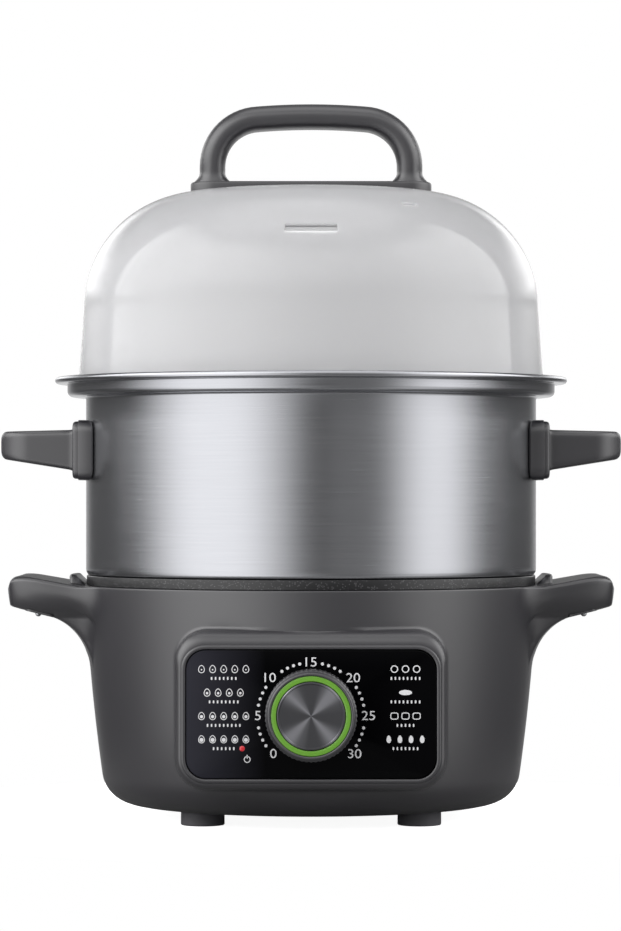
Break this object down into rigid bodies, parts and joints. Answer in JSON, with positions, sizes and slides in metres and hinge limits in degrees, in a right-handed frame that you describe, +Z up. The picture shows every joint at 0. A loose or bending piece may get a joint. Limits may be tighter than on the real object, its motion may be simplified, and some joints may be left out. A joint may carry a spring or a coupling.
{
  "type": "electric egg cooker",
  "caption": "Round electric egg cooker with a wind-up timer knob, side handles, non-stick pan, lift-off steel steamer pot, egg rack and milky dome lid.",
  "frame": {"origin": "on the pot axis, in the plane that the feet stand on, which is the middle of the box's underside to within 2 mm", "axes": "+Z up along the pot axis, -Y towards the control panel, +X to the right seen from the front"},
  "size_m": [0.2604, 0.2188, 0.2999],
  "materials": {
    "grey_plastic": "fine matt moulded texture, dark warm grey",
    "dark_plastic": "matt moulded, near black",
    "foot_rubber": "matt rubber",
    "pan_coating": "black non-stick coating with pale specks",
    "pot_steel": "brushed round the pot",
    "lid_plastic": "milky translucent, glossy",
    "panel_black": "glossy black with pale printed scale",
    "ring_green": "glossy green ring",
    "knob_metal": "spun, dark anodised",
    "light_red": "clear red lens",
    "pale_plastic": "plain moulded",
    "shield_aluminium": "plain sheet",
    "zinc_steel": "zinc plated",
    "brass": "plain",
    "wire_red": "silicone sleeve"
  },
  "bodies": {
    "base": {"base_housing": "grey_plastic", "side_handle_left": "grey_plastic", "side_handle_right": "grey_plastic", "handle_cover_left": "grey_plastic", "handle_cover_right": "grey_plastic", "handle_cover_screws": "zinc_steel", "bottom_cover": "dark_plastic", "bottom_screws": "zinc_steel", "foot_front_left": "foot_rubber", "foot_front_right": "foot_rubber", "foot_rear_left": "foot_rubber", "foot_rear_right": "foot_rubber", "cooking_pan": "pan_coating", "heating_element": "zinc_steel", "element_terminals": "brass", "heat_shield": "shield_aluminium", "pan_nuts": "zinc_steel", "thermostat": "pale_plastic", "thermal_fuse": "shield_aluminium", "terminal_block": "pale_plastic", "terminal_screws": "brass", "wiring": "wire_red", "cord_gland": "dark_plastic", "gland_nut": "dark_plastic", "control_panel": "panel_black", "power_light": "light_red", "timer_front_plate": "zinc_steel", "timer_back_plate": "zinc_steel", "timer_pillars": "brass", "timer_contacts": "brass", "timer_bell": "zinc_steel"},
    "knob": {"knob_skirt": "grey_plastic", "knob_ring": "ring_green", "knob_cap": "knob_metal", "timer_shaft": "zinc_steel", "timer_wheel": "brass", "spring_drum": "zinc_steel", "timer_cam": "pale_plastic"},
    "escapement": {"escape_arbor": "zinc_steel", "escape_pinion": "brass", "escape_wheel": "brass"},
    "steamer": {"steamer_pot": "pot_steel", "steamer_handle_left": "grey_plastic", "steamer_handle_right": "grey_plastic", "steamer_handle_screws": "zinc_steel"},
    "rack": {"egg_rack": "pale_plastic"},
    "lid": {"lid_dome": "lid_plastic", "lid_handle": "grey_plastic", "lid_handle_washers": "foot_rubber", "lid_handle_screws": "zinc_steel"}
  },
  "joints": [
    {"name": "knob_turn", "type": "hinge", "parent": "base", "child": "knob", "pos_m": [0, -0.1, 0.0485], "axis": [0, 1, 0], "range_deg": [0, 270]},
    {"name": "escape_spin", "type": "hinge", "parent": "base", "child": "escapement", "pos_m": [0.0184, -0.08, 0.0485], "axis": [0, 1, 0], "range_deg": [-972, 0]},
    {"name": "steamer_lift", "type": "slide", "parent": "base", "child": "steamer", "axis": [0, 0, 1], "range_m": [0, 0.14]},
    {"name": "rack_lift", "type": "slide", "parent": "steamer", "child": "rack", "axis": [0, 0, 1], "range_m": [0, 0.06]},
    {"name": "lid_lift", "type": "slide", "parent": "steamer", "child": "lid", "axis": [0, 0, 1], "range_m": [0, 0.12]}
  ],
  "couplings": [
    {"joint": "escape_spin", "follows": "knob_turn", "ratio": -3.6}
  ]
}
